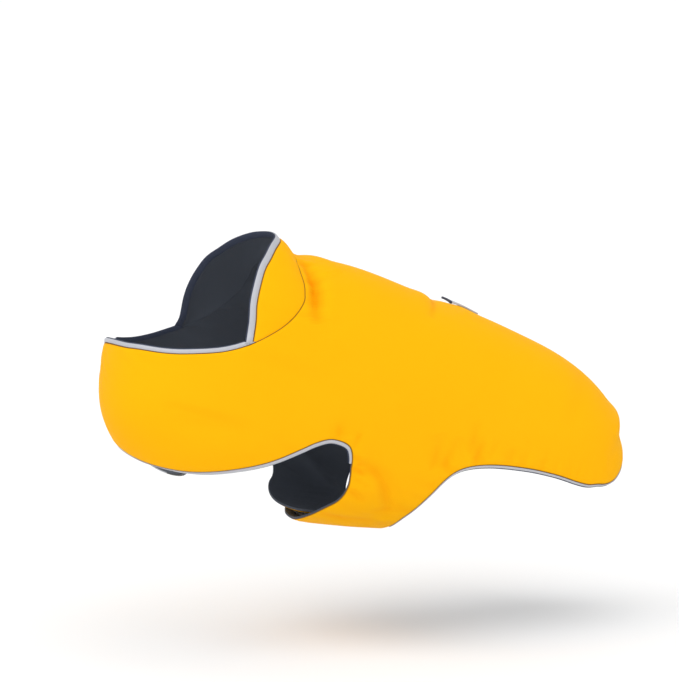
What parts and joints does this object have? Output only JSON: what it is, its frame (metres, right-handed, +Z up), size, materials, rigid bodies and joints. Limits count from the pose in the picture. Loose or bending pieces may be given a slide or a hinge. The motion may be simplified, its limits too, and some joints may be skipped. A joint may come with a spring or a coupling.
{
  "type": "dog raincoat",
  "caption": "Hollow worn dog raincoat with stand collar, overlapped chest, belly band, piped hems and open neck, armholes and rear.",
  "frame": {"origin": "on the cloth at the withers, in the middle of the back, where the coat hangs on the dog", "axes": "+X towards the tail, +Y towards the dog's right side (away from the camera), +Z up"},
  "size_m": [0.3534, 0.1286, 0.1905],
  "materials": {
    "shell": "amber-yellow coated waterproof cloth, smooth with a soft sheen",
    "piping": "flat grey reflective tape",
    "tape": "charcoal hook and loop tape and binding"
  },
  "bodies": {
    "root": {"body_panel": "shell", "collar": "shell", "collar_piping": "piping", "front_piping_near": "piping", "neck_piping_far": "piping", "hem_piping_far": "piping", "rear_piping": "piping", "back_tab": "piping", "tab_edge": "tape", "chest_loop": "tape", "chest_hook": "tape", "belly_loop": "tape", "belly_hook": "tape"}
  },
  "joints": []
}
